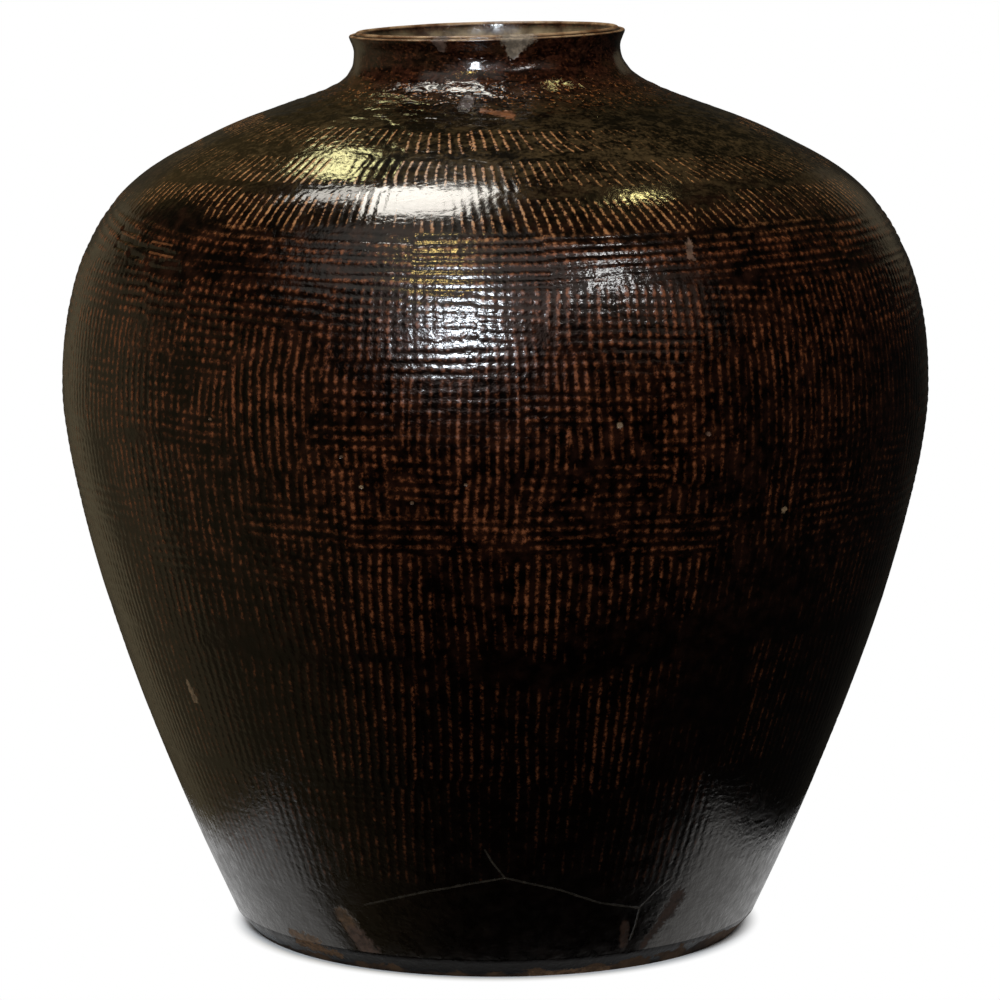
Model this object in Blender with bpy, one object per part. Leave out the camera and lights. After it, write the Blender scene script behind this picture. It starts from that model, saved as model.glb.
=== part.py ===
"""A large storage jar of coil-built, paddled and glazed stoneware.

The jar is an assembly of the potter's own members: a beaten base slab, a coil pressed into its inside
corner, wall and shoulder courses that lap over one another, a thrown neck collar and a rolled rim.
Each member is one object, and neighbours meet in a slanting lap joint with a thin bed of slip between.
Units are metres, +Z is up, and the origin is the centre of the face that the jar stands on.
"""

import math

import bmesh
import bpy
from mathutils import Vector
from mathutils.geometry import interpolate_bezier

# Foot
foot_radius = 0.1648
heel_radius = 0.1753
heel_height = 0.012
slab_edge_height = 0.002
corner_coil_size = 0.017
corner_hollow_share = 0.3

# Lower wall, which swells from the heel to the belly
belly_radius = 0.288
belly_height = 0.3615
swell_power = 1.45

# Shoulder, which leaves the belly upright and falls in to a straight crown
belly_handle = 0.126
crown_radius = 0.1985
crown_rise = 0.1635
crown_slope = math.radians(28)
crown_handle_below = 0.031
crown_handle_above = 0.071

# Neck, narrowest at its waist, and the lip that flares above it
waist_radius = 0.088
waist_rise = 0.061
waist_handle_below = 0.0285
waist_handle_above = 0.004
lip_radius = 0.0914
lip_rise = 0.0105
lip_handle = 0.002

# The lip's rounded edge: a lower outer bead, a groove and a higher inner bead
outer_bead_radius = 0.0016
inner_bead_radius = 0.0024
inner_bead_rise = 0.0012
lip_groove_width = 0.0008
bead_start = math.radians(-10)
bead_end = math.radians(110)

# The neck stands a little off centre, and the mouth slopes up to the right
lean_start_share = 0.33
neck_drift = 0.0056
mouth_slope = math.radians(1.45)

# Thickness of the clay, which thins from the foot to the neck
foot_wall = 0.014
belly_wall = 0.011
neck_wall = 0.0078

# Where each member starts, as a share of one stretch of the outline
seam_shares = [
    ("lower_wall_course", "wall", 0.34),
    ("middle_wall_course", "wall", 0.625),
    ("belly_course", "wall", 0.845),
    ("upper_belly_course", "shoulder", 0.07),
    ("lower_shoulder_course", "shoulder", 0.48),
    ("upper_shoulder_course", "shoulder", 0.90),
    ("shoulder_crown", "neck", 0.50),
    ("neck_collar", "neck", 0.885),
    ("rim_roll", "lip", 0.22),
]

# Joints: the bed of slip, and how far one member laps over the next
slip_gap = 0.0003
wall_lap = 0.014
neck_lap = 0.004
neck_lapped = ("neck_collar", "rim_roll")

# Fineness of the turned shapes
segments = 64
outline_steps = 120
outer_spans = 4
inner_spans = 3
bead_spans = 3
smooth_angle = math.radians(30)

glaze_roughness = 0.18
clay_roughness = 0.7
COLOURS = {
    "base_slab": (0.160, 0.085, 0.045),
    "corner_coil": (0.050, 0.022, 0.012),
    "foot_course": (0.012, 0.007, 0.005),
    "lower_wall_course": (0.022, 0.010, 0.006),
    "middle_wall_course": (0.045, 0.017, 0.008),
    "belly_course": (0.060, 0.021, 0.009),
    "upper_belly_course": (0.055, 0.019, 0.008),
    "lower_shoulder_course": (0.040, 0.016, 0.008),
    "upper_shoulder_course": (0.050, 0.030, 0.014),
    "shoulder_crown": (0.055, 0.038, 0.020),
    "neck_collar": (0.050, 0.016, 0.009),
    "rim_roll": (0.200, 0.135, 0.085),
}
BARE_CLAY = ("base_slab", "rim_roll")

# Heights that follow from the sizes above
base_thickness = heel_height + slab_edge_height
crown_height = belly_height + crown_rise
waist_height = crown_height + waist_rise
lip_height = waist_height + lip_rise
lean_start_height = crown_height + waist_rise * lean_start_share


def clear_scene():
    for old in list(bpy.data.objects):
        bpy.data.objects.remove(old, do_unlink=True)


def bearing(angle):
    """Unit direction in the section plane, where x is the radius and y is the height."""
    return Vector((math.cos(angle), math.sin(angle)))


def bezier(start, start_handle, end_handle, end):
    corners = [point.to_3d() for point in (start, start_handle, end_handle, end)]
    return [point.to_2d() for point in interpolate_bezier(*corners, outline_steps)]


def swelling_wall():
    """Outer face from the heel to the belly, steeper the higher it is."""
    points = []
    for step in range(outline_steps):
        rise = step / (outline_steps - 1)
        radius = belly_radius - (belly_radius - heel_radius) * (1 - rise) ** swell_power
        height = heel_height + (belly_height - heel_height) * rise
        points.append(Vector((radius, height)))
    return points


def outer_stretches():
    """The jar's outer face in four stretches, from the heel to the edge of the lip."""
    belly = Vector((belly_radius, belly_height))
    crown = Vector((crown_radius, crown_height))
    waist = Vector((waist_radius, waist_height))
    lip = Vector((lip_radius, lip_height))
    up = bearing(math.pi / 2)
    inwards = bearing(math.pi - crown_slope)
    return {
        "wall": swelling_wall(),
        "shoulder": bezier(
            belly, belly + up * belly_handle, crown - inwards * crown_handle_below, crown
        ),
        "neck": bezier(
            crown, crown + inwards * crown_handle_above, waist - up * waist_handle_below, waist
        ),
        "lip": bezier(waist, waist + up * waist_handle_above, lip - up * lip_handle, lip),
    }


class Outline:
    """The outer face as points, each with its distance along the face from the heel."""

    def __init__(self, stretches):
        self.points = []
        self.along = []
        self.spans = {}
        travelled = 0.0
        for name, points in stretches.items():
            start = travelled
            for point in points:
                if self.points:
                    travelled += (point - self.points[-1]).length
                if not self.points or travelled > self.along[-1]:
                    self.points.append(point)
                    self.along.append(travelled)
            self.spans[name] = (start, travelled)
        self.length = travelled

    def index(self, distance):
        """The end of the short run that a distance lies in."""
        inside = (i for i in range(1, len(self.along) - 1) if self.along[i] >= distance)
        return next(inside, len(self.along) - 1)

    def outer(self, distance):
        """Point of the outer face."""
        end = self.index(distance)
        run = self.along[end] - self.along[end - 1]
        share = (distance - self.along[end - 1]) / run
        return self.points[end - 1].lerp(self.points[end], share)

    def inner(self, distance):
        """Point of the inner face, straight through the clay from the outer one."""
        end = self.index(distance)
        run = (self.points[end] - self.points[end - 1]).normalized()
        face = self.outer(distance)
        return face - Vector((run.y, -run.x)) * wall_thickness(face.y)

    def seam(self, stretch, share):
        start, end = self.spans[stretch]
        return start + (end - start) * share

    def distance_at(self, height):
        """Distance at which the rising face reaches a height."""
        end = next(i for i in range(1, len(self.points)) if self.points[i].y >= height)
        low, high = self.points[end - 1].y, self.points[end].y
        run = self.along[end] - self.along[end - 1]
        return self.along[end - 1] + run * (height - low) / (high - low)


def wall_thickness(height):
    if height < belly_height:
        return foot_wall + (belly_wall - foot_wall) * height / belly_height
    share = min(1.0, (height - belly_height) / (waist_height - belly_height))
    return belly_wall + (neck_wall - belly_wall) * share


def even_steps(start, end, spans):
    return [start + (end - start) * step / spans for step in range(spans + 1)]


def lap_of(member):
    """How far a member laps over the one below it."""
    return neck_lap if member in neck_lapped else wall_lap


def half_gap(outline, distance, lap):
    """Half the bed of slip, measured along the outer face, at a joint with this lap."""
    slant = math.atan2(wall_thickness(outline.outer(distance).y), lap)
    return slip_gap / 2 / math.sin(slant)


def course_section(outline, low, high, low_lap, high_lap):
    """A member that laps inside the one below it and outside the one above it."""
    start = low + half_gap(outline, low, low_lap)
    end = high - half_gap(outline, high, high_lap)
    outer = [outline.outer(distance) for distance in even_steps(start, end, outer_spans)]
    inner = [
        outline.inner(distance)
        for distance in even_steps(end - high_lap, start - low_lap, inner_spans)
    ]
    return outer + inner


def slab_section(outline):
    """The base disc, from its centre underneath round the heel to its centre on top."""
    top_edge = outline.outer(outline.distance_at(base_thickness))
    return [
        Vector((0.0, 0.0)),
        Vector((foot_radius, 0.0)),
        Vector((heel_radius, heel_height)),
        top_edge,
        Vector((0.0, base_thickness)),
    ]


def foot_inside(outline, rise):
    """Inner face of the foot course at a rise above its underside, carried down to the slab."""
    floor = base_thickness + slip_gap
    start = outline.distance_at(floor)
    low = outline.inner(start)
    high = outline.inner(start + corner_coil_size)
    return low.lerp(high, (floor + rise - low.y) / (high.y - low.y))


def foot_section(outline, high):
    """The lowest course, which stands flat on the slab and is lapped by the next."""
    start = outline.distance_at(base_thickness + slip_gap)
    end = high - half_gap(outline, high, wall_lap)
    outer = [outline.outer(distance) for distance in even_steps(start, end, outer_spans)]
    inner = [
        outline.inner(distance)
        for distance in even_steps(end - wall_lap, start + corner_coil_size, inner_spans)
    ]
    return outer + inner + [foot_inside(outline, 0.0)]


def corner_section(outline):
    """The coil pressed into the angle of slab and wall, hollowed by the potter's finger."""
    clear = Vector((slip_gap, 0.0))
    foot = foot_inside(outline, 0.0) - clear
    head = foot_inside(outline, corner_coil_size) - clear
    toe = foot - Vector((corner_coil_size, 0.0))
    hollow = head.lerp(toe, 0.5).lerp(foot, corner_hollow_share)
    return [toe, foot, head, hollow]


def bead(centre, radius, start, end):
    """Points round one bead of the lip."""
    return [centre + bearing(angle) * radius for angle in even_steps(start, end, bead_spans)]


def rim_section(outline, low):
    """The flared lip with its two beads, lapping inside the neck collar."""
    start = low + half_gap(outline, low, neck_lap)
    outer = [outline.outer(distance) for distance in even_steps(start, outline.length, outer_spans)]
    outer_centre = Vector((lip_radius - outer_bead_radius, lip_height))
    spread = outer_bead_radius + lip_groove_width + inner_bead_radius
    inner_centre = outer_centre + Vector((-spread, inner_bead_rise))
    beads = bead(outer_centre, outer_bead_radius, 0.0, bead_end)[1:]
    beads += bead(inner_centre, inner_bead_radius, bead_start, math.pi)
    return outer + beads + [outline.inner(start), outline.inner(start - neck_lap)]


def leaning(point):
    """Shift and tip the neck and mouth, and leave the body alone."""
    share = (point.z - lean_start_height) / (waist_height - lean_start_height)
    share = min(1.0, max(0.0, share))
    blend = share * share * (3 - 2 * share)
    lift = math.tan(mouth_slope) * point.x
    return point + Vector((-neck_drift, 0.0, lift)) * blend


def turned(name, section, closed=True):
    """Spin a section round the jar's axis into one closed solid."""
    bm = bmesh.new()
    verts = [bm.verts.new((point.x, 0.0, point.y)) for point in section]
    pairs = list(zip(verts, verts[1:]))
    if closed:
        pairs.append((verts[-1], verts[0]))
    edges = [bm.edges.new(pair) for pair in pairs]
    bmesh.ops.spin(
        bm,
        geom=verts + edges,
        axis=(0.0, 0.0, 1.0),
        cent=(0.0, 0.0, 0.0),
        angle=math.tau,
        steps=segments,
        use_merge=True,
    )
    bmesh.ops.remove_doubles(bm, verts=bm.verts, dist=slip_gap / 10)
    for vert in bm.verts:
        vert.co = leaning(vert.co)
    bmesh.ops.recalc_face_normals(bm, faces=bm.faces)
    mesh = bpy.data.meshes.new(name)
    bm.to_mesh(mesh)
    bm.free()
    mesh.shade_smooth()
    mesh.set_sharp_from_angle(angle=smooth_angle)
    mesh.materials.append(clay(name))
    piece = bpy.data.objects.new(name, mesh)
    bpy.context.scene.collection.objects.link(piece)


def clay(name):
    """The member's own glazed or bare stoneware."""
    material = bpy.data.materials.new(name)
    material.use_nodes = True
    shader = material.node_tree.nodes["Principled BSDF"]
    shader.inputs["Base Color"].default_value = (*COLOURS[name], 1.0)
    shader.inputs["Roughness"].default_value = clay_roughness if name in BARE_CLAY else glaze_roughness
    shader.inputs["Metallic"].default_value = 0.0
    return material


def build_foot(outline, first_seam):
    turned("base_slab", slab_section(outline), closed=False)
    turned("corner_coil", corner_section(outline))
    turned("foot_course", foot_section(outline, first_seam))


def build_courses(outline, starts):
    """Wall, shoulder and neck members, each from its own seam to the next."""
    for (name, low), (next_name, high) in zip(starts, starts[1:]):
        turned(name, course_section(outline, low, high, lap_of(name), lap_of(next_name)))


def build_jar():
    outline = Outline(outer_stretches())
    starts = [(name, outline.seam(stretch, share)) for name, stretch, share in seam_shares]
    build_foot(outline, starts[0][1])
    build_courses(outline, starts)
    rim_name, rim_start = starts[-1]
    turned(rim_name, rim_section(outline, rim_start))


clear_scene()
build_jar()
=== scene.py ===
"""Looks of a large glazed storage jar: paddled walls, fired glaze, worn lip and a plain studio.

Every member of the jar gets a fine skin that stands for its plain solid. The skins share one outline and one
field of paddle marks, so that the glaze runs over the joints as it does on the real jar.
Units are metres, +Z is up, and the photograph's side of the jar faces -Y.
"""

import math
from collections import namedtuple

import bmesh
import bpy
import numpy as np
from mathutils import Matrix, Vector
from mathutils.geometry import interpolate_bezier


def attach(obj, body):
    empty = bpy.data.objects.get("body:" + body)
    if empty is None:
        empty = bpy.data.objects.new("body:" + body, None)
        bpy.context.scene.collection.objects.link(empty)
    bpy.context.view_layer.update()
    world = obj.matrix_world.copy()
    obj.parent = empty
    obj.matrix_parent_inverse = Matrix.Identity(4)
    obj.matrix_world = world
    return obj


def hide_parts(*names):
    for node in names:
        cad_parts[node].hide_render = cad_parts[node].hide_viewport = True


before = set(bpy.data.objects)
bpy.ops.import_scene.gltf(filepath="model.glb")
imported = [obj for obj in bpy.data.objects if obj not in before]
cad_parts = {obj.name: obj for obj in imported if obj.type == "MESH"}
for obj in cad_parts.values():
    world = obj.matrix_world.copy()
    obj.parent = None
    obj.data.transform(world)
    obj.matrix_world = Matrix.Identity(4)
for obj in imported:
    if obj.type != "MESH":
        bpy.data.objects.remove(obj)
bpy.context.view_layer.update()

# Outline of the jar, the same sizes as its solids
foot_radius = 0.1648
heel_radius = 0.1753
heel_height = 0.012
base_thickness = 0.014
corner_coil_size = 0.017
coil_hollow = (0.90, 0.95)
coil_face = (-0.7, 0.7)
heel_face = (0.75, -0.65)
slab_under_share = 0.99
slab_top_share = 0.98
belly_radius = 0.288
belly_height = 0.3615
swell_power = 1.45
belly_handle = 0.126
crown_radius = 0.1985
crown_height = 0.525
crown_slope = math.radians(28)
crown_handle_below = 0.031
crown_handle_above = 0.071
waist_radius = 0.088
waist_height = 0.586
waist_handle_below = 0.0285
waist_handle_above = 0.004
lip_radius = 0.0914
lip_height = 0.5965
lip_handle = 0.002
outer_bead_radius = 0.0016
inner_bead_radius = 0.0024
inner_bead_rise = 0.0012
outer_bead_end = math.radians(110)
inner_bead_start = math.radians(-10)
lip_groove_width = 0.0008
lean_start_height = 0.54513
neck_drift = 0.0056
mouth_slope = math.radians(1.45)
foot_wall = 0.014
belly_wall = 0.011
neck_wall = 0.0078

# Joints between members, as shares of one stretch of the outline
MEMBERS = [
    ("lower_wall_course", "wall", 0.34),
    ("middle_wall_course", "wall", 0.625),
    ("belly_course", "wall", 0.845),
    ("upper_belly_course", "shoulder", 0.07),
    ("lower_shoulder_course", "shoulder", 0.48),
    ("upper_shoulder_course", "shoulder", 0.90),
    ("shoulder_crown", "neck", 0.50),
    ("neck_collar", "neck", 0.885),
    ("rim_roll", "lip", 0.22),
]
NECK_MEMBERS = ("neck_collar", "rim_roll")
slip_gap = 0.0003
wall_lap = 0.014
neck_lap = 0.004
SLOTS = {
    "base_slab": "bare_clay",
    "corner_coil": "inner_glaze",
    "foot_course": "foot_glaze",
    "lower_wall_course": "dark_glaze",
    "middle_wall_course": "rust_glaze",
    "belly_course": "rust_glaze",
    "upper_belly_course": "rust_glaze",
    "lower_shoulder_course": "dark_glaze",
    "upper_shoulder_course": "olive_glaze",
    "shoulder_crown": "olive_glaze",
    "neck_collar": "neck_glaze",
    "rim_roll": "worn_lip",
}

# Fineness of the skins
outline_steps = 120
spin_steps = 96
columns_per_step = 15
fine_row = 0.00135
coarse_row = 0.00205
neck_row = 0.0008
rim_row = neck_row / 2
ROWS = {"lower_wall_course": coarse_row, "neck_collar": neck_row}
inner_rows = 5
most_rows = 68
slab_rows = 9
coil_rows = 9
bead_rows = 8
inner_bead_rows = 12
rim_inner_rows = 4
plain_steps = 72
slab_columns = 5
coil_columns = 3
sharp_angle = math.radians(30)

# Paddle marks: how far apart the ridges are, how deep the blows go and how softly they end
ridge_pitch = 0.0063
groove_pitch = 0.0062
blow_depth = 0.00030
groove_extra_depth = 0.00022
band_groove_depth = 0.00040
skin_margin = 0.00025
blow_fade = 0.006
blow_side_fade = 0.0012

Ring = namedtuple("Ring", "low high width firm spread smear lean", defaults=(0.0, 0.0))

# Rings of upright blows: lowest and highest height, width of a blow, mean firmness and its spread,
# and how far the blows lean on the right
UPRIGHT_RINGS = [
    Ring(0.062, 0.141, 0.062, 0.85, 0.15),
    Ring(0.137, 0.224, 0.055, 0.85, 0.15),
    Ring(0.225, 0.298, 0.058, 0.90, 0.12),
    Ring(0.290, 0.352, 0.052, 0.90, 0.12),
    Ring(0.344, 0.425, 0.055, 0.90, 0.12),
    Ring(0.417, 0.4865, 0.060, 0.88, 0.12),
    Ring(0.4885, 0.5095, 0.060, 0.98, 0.04, lean=0.30),
    Ring(0.5120, 0.5275, 0.052, 0.98, 0.04, lean=0.30),
    Ring(0.5315, 0.5440, 0.048, 0.94, 0.10, lean=0.34),
]

# Rings of level blows, in the same terms, and how far firm ones smear the ridges into level lines
LEVEL_RINGS = [
    Ring(0.070, 0.108, 0.056, 0.25, 0.20),
    Ring(0.106, 0.150, 0.052, 0.30, 0.20),
    Ring(0.150, 0.190, 0.060, 0.30, 0.20),
    Ring(0.188, 0.228, 0.050, 0.30, 0.20),
    Ring(0.230, 0.268, 0.052, 0.35, 0.25),
    Ring(0.266, 0.294, 0.050, 0.60, 0.28, 0.35),
    Ring(0.292, 0.320, 0.060, 0.80, 0.20, 0.40),
    Ring(0.321, 0.351, 0.046, 0.66, 0.28, 0.30),
    Ring(0.350, 0.373, 0.055, 0.76, 0.25, 0.32),
    Ring(0.373, 0.398, 0.044, 0.70, 0.28, 0.28),
    Ring(0.397, 0.427, 0.050, 0.74, 0.25, 0.28),
    Ring(0.426, 0.457, 0.048, 0.78, 0.22, 0.28),
    Ring(0.456, 0.4885, 0.110, 0.95, 0.05, 0.48),
]

# How the blows differ: slant, bend, wavy edge, place, pitch, and how plainly their ridges show
upright_slant = 0.028
level_slant = 0.045
blow_bend = 0.0010
blow_edge_sway = 0.14
blow_edge_wave = 2.3
blow_edge_turns = 7
blow_shift = 0.15
pitch_range = (0.94, 1.06)
shallow_cut = 0.55
lean_from_left = 0.6
firmer_right = 0.25
ridge_tones = 97
tones_per_blow = 7
tone_range = (0.65, 1.1)
firm_from = 0.45
firm_over = 0.40

Run = namedtuple("Run", "bearing height half_turn half_height share")
run_raggedness = 6
run_edge = 1.5
run_fill = 0.5

# Where the glaze ran thick over the marks: bearing in degrees from the front, height, half sizes, share
THICK_RUNS = [
    Run(-62, 0.527, 20, 0.018, 0.55),
    Run(-82, 0.512, 14, 0.016, 0.70),
    Run(-57, 0.492, 9, 0.007, 0.80),
    Run(-9.5, 0.506, 8, 0.010, 0.92),
    Run(-25, 0.526, 6, 0.011, 0.85),
    Run(42, 0.538, 24, 0.008, 0.70),
    Run(15, 0.511, 4, 0.004, 0.60),
    Run(34, 0.506, 6, 0.006, 0.70),
    Run(4, 0.216, 13, 0.009, 0.80),
    Run(-38, 0.232, 7, 0.010, 0.60),
    Run(30, 0.190, 10, 0.016, 0.50),
    Run(26, 0.236, 16, 0.014, 0.55),
    Run(46, 0.372, 24, 0.040, 0.30),
    Run(74, 0.526, 14, 0.014, 0.30),
    Run(86, 0.495, 10, 0.014, 0.50),
    Run(135, 0.520, 12, 0.012, 0.70),
    Run(-150, 0.512, 16, 0.010, 0.80),
]

# Where the level blows were lighter, in the same terms
LIGHT_HAND = [Run(46, 0.395, 24, 0.045, 0.70), Run(-170, 0.360, 30, 0.050, 0.60)]

# The long grooves below the shoulder: their heights, and how they sway and change in depth
LONG_GROOVES = (0.4575, 0.4618, 0.4660)
long_groove_size = 0.0013
long_groove_sway = 0.0016
groove_firm_mean = 0.9
groove_firm_change = 0.5

# Short deep slits at the left end of the level band: bearing and height of both ends
SLITS = [
    ((-67.7, 0.4772), (-61.5, 0.4764)),
    ((-67.1, 0.4717), (-56.7, 0.4689)),
    ((-66.7, 0.4669), (-62.7, 0.4653)),
    ((-60.8, 0.4642), (-56.8, 0.4627)),
    ((-56.5, 0.4702), (-49.7, 0.4684)),
    ((-52.7, 0.4630), (-48.0, 0.4635)),
    ((-54.8, 0.4595), (-47.1, 0.4580)),
]
slit_size = 0.0012
slit_extra_depth = 2.0

# Where the crests sharpen: heights, and how sharp they are at each
CREST_SHARPNESS = ((0.486, 0.492), (1.75, 4.6))
ridge_jitter = 0.0003

# How thin the glaze lies on the ridges at each height, and how much thinner on the left
THIN_HEIGHTS = (
    0.030, 0.075, 0.14, 0.205, 0.222, 0.24, 0.285, 0.32, 0.44, 0.462, 0.480, 0.487, 0.493, 0.55, 0.56
)
THIN_VALUES = (0.0, 0.40, 0.52, 0.54, 0.51, 0.62, 0.73, 0.92, 1.08, 0.98, 0.84, 0.80, 1.22, 1.16, 0.0)
thinner_left = 0.22
thinnest_bearing = -0.9
patch_mean = 0.92
patch_depth = 0.16
patch_range = (0.5, 1.2)
zone_sway = 0.006

# Random fields: seed, longest and shortest wave in metres, and how many waves
SWELLS = (1, 0.22, 0.06, 10)
DIMPLES = (2, 0.045, 0.014, 16)
ANVIL_DENTS = (3, 0.12, 0.035, 10)
NECK_LUMPS = (4, 0.12, 0.03, 16)
RIM_WAVES = (5, 0.6, 0.12, 8)
GLAZE_PATCHES = (11, 0.16, 0.03, 14)
ZONE_WAVES = (12, 0.2, 0.05, 8)
RUN_EDGES = (15, 0.15, 0.03, 8)

# The same without their seeds: the sway and firmness of the long grooves, and a ridge's jitter
GROOVE_SWAY = (0.5, 0.09, 6)
GROOVE_FIRMNESS = (0.6, 0.12, 5)
RIDGE_JITTER = (0.05, 0.012, 10)

# Seeds of the first ring or groove of each kind
upright_seed = 40
level_seed = 80
groove_sway_seed = 20
groove_firm_seed = 30

# Where each kind of relief lies: heights, and its share at each
IN_BAND = ((0.453, 0.459, 0.485, 0.489), (0.0, 1.0, 1.0, 0.0))
BEATEN = ((0.05, 0.15, 0.484, 0.492), (0.35, 0.90, 1.0, 0.40))
CALM_ENDS = ((heel_height, 0.03, 0.56, 0.575), (0.3, 1.0, 1.0, 0.0))
LUMPY = ((0.536, 0.550, 0.570, 0.580, 0.594), (0.0, 1.0, 1.0, 0.5, 0.0))
AT_RIM = ((0.585, 0.594), (0.0, 1.0))

# Swells and dimples of the beaten wall, and the dents of the anvil inside
swell_depth = 0.00022
dimple_depth = 0.00005
anvil_depth = 0.0005

# Lumps of the thrown neck and waves of the rim, and how far they are kept inside the solid
lump_depth = 0.00028
lump_flatness = 4
lump_margin = 0.00045
rim_sink = 0.00035
rim_wave = 0.00012

# How far a bead has to face upwards before its glaze is worn, and how soon it is worn fully
wear_from = 0.05
wear_over = 0.5

# The studio
camera_distance = 3.125
camera_height = 0.7637
camera_side = 0.003
camera_pitch = math.radians(8.704)
lens = 170.1
sensor = 36.0
lamp_distance = 2.5
overhead_height = 2.5
ambient_light = 0.10

SectionPoint = namedtuple("SectionPoint", "radius height along out rise skin")


def bearing_point(angle):
    """Unit direction in a section: angle 0 outwards and a quarter turn upwards."""
    return Vector((math.cos(angle), math.sin(angle)))


def bezier(start, start_handle, end_handle, end):
    corners = [point.to_3d() for point in (start, start_handle, end_handle, end)]
    return [point.to_2d() for point in interpolate_bezier(*corners, outline_steps)]


def swelling_wall():
    """Outer face from the heel to the belly."""
    points = []
    for step in range(outline_steps):
        rise = step / (outline_steps - 1)
        radius = belly_radius - (belly_radius - heel_radius) * (1 - rise) ** swell_power
        points.append(Vector((radius, heel_height + (belly_height - heel_height) * rise)))
    return points


def outer_stretches():
    """The four stretches of the outer face, from the heel to the lip."""
    belly = Vector((belly_radius, belly_height))
    crown = Vector((crown_radius, crown_height))
    waist = Vector((waist_radius, waist_height))
    lip = Vector((lip_radius, lip_height))
    up = bearing_point(math.pi / 2)
    inwards = bearing_point(math.pi - crown_slope)
    return {
        "wall": swelling_wall(),
        "shoulder": bezier(
            belly, belly + up * belly_handle, crown - inwards * crown_handle_below, crown
        ),
        "neck": bezier(
            crown, crown + inwards * crown_handle_above, waist - up * waist_handle_below, waist
        ),
        "lip": bezier(waist, waist + up * waist_handle_above, lip - up * lip_handle, lip),
    }


class Outline:
    """The outer face, read by the distance travelled along it from the heel."""

    def __init__(self):
        points, spans, travelled = [], {}, 0.0
        for name, stretch in outer_stretches().items():
            start = travelled
            for point in stretch:
                step = (point - points[-1]).length if points else 0.0
                if not points or step > 0:
                    travelled += step
                    points.append(point)
            spans[name] = (start, travelled)
        self.spans = spans
        self.length = travelled
        self.radius = np.array([point.x for point in points])
        self.height = np.array([point.y for point in points])
        steps = np.hypot(np.diff(self.radius), np.diff(self.height))
        self.along = np.concatenate([[0.0], np.cumsum(steps)])
        run, rise = np.gradient(self.radius), np.gradient(self.height)
        size = np.hypot(run, rise)
        self.out, self.up = rise / size, -run / size

    def seam(self, stretch, share):
        start, end = self.spans[stretch]
        return start + (end - start) * share

    def along_at(self, height):
        return np.interp(height, self.height, self.along)

    def radius_at(self, height):
        return np.interp(height, self.height, self.radius)

    def point(self, along, skin):
        """A point of the member's section: skin 0 on the outer face and 1 on the inner one."""
        out, up = np.interp(along, self.along, self.out), np.interp(along, self.along, self.up)
        radius = np.interp(along, self.along, self.radius)
        height = np.interp(along, self.along, self.height)
        depth = wall_thickness(height) * skin
        return SectionPoint(radius - out * depth, height - up * depth, along, out, up, skin)


def wall_thickness(height):
    """The wall grows thinner from the foot to the neck."""
    return np.interp(
        height, [0.0, belly_height, waist_height], [foot_wall, belly_wall, neck_wall]
    )


outline = Outline()


def row_count(length, row, spare):
    """How many rows of this height go into a stretch, so that no skin gets too many triangles."""
    return min(max(3, round(length / row)), most_rows - spare)


def course_section(low, high, low_lap, high_lap, row):
    """A course: outer face upwards, then inner face downwards, with the slanting joints between."""
    rows = row_count(high - low, row, inner_rows + 2)
    outer = [outline.point(along, 0.0) for along in np.linspace(low, high, rows + 1)]
    inner_high, inner_low = high - high_lap - slip_gap, low - low_lap + slip_gap
    inner = [outline.point(along, 1.0) for along in np.linspace(inner_high, inner_low, inner_rows + 1)]
    return outer + inner


def foot_section(high):
    """The lowest course stands on the slab."""
    low = outline.along_at(base_thickness)
    section = course_section(low, high, 0.0, wall_lap, coarse_row)
    inside = section[-1]
    floor = base_thickness + slip_gap
    return section[:-1] + [inside._replace(height=floor)]


def plain_point(radius, height, out, up):
    """A point of a face that no blow or anvil has touched."""
    return SectionPoint(radius, height, 0.0, out, up, 0.5)


def slab_section():
    """The base slab, from its centre underneath round the heel to its centre on top."""
    under = [
        plain_point(foot_radius * share, 0.0, 0.0, -1.0)
        for share in np.linspace(0.0, slab_under_share, slab_rows)
    ]
    heel = []
    for share in np.linspace(0.0, 1.0, slab_rows):
        radius = foot_radius + (heel_radius - foot_radius) * share
        heel.append(SectionPoint(radius, heel_height * share, 0.0, *heel_face, 0.0))
    edge_top = outline.point(outline.along_at(base_thickness), 0.0)
    top = [
        plain_point(edge_top.radius * share, base_thickness, 0.0, 1.0)
        for share in np.linspace(slab_top_share, 0.0, slab_rows)
    ]
    return under + heel + [edge_top] + top


def corner_section():
    """The coil in the inside corner, its face hollowed by a finger."""
    floor = base_thickness + slip_gap
    clear = slip_gap * 3
    foot = outline.point(outline.along_at(floor), 1.0).radius - clear
    head = outline.point(outline.along_at(floor + corner_coil_size), 1.0).radius - clear
    hollow = []
    for share in np.linspace(0.0, 1.0, coil_rows):
        angle = math.pi / 2 * share
        hollow.append(
            plain_point(
                head - corner_coil_size * (1 - math.cos(angle)) * coil_hollow[0],
                floor + corner_coil_size * (1 - math.sin(angle)) * coil_hollow[1] + slip_gap,
                *coil_face,
            )
        )
    return [plain_point(foot, floor, 1.0, 0.0)] + hollow


def bead(centre, radius, start, end, steps):
    """Points round one bead of the lip."""
    points = []
    for angle in np.linspace(start, end, steps):
        outwards = bearing_point(angle)
        place = centre + outwards * radius
        points.append(SectionPoint(place.x, place.y, outline.length, outwards.x, outwards.y, 0.0))
    return points


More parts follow.
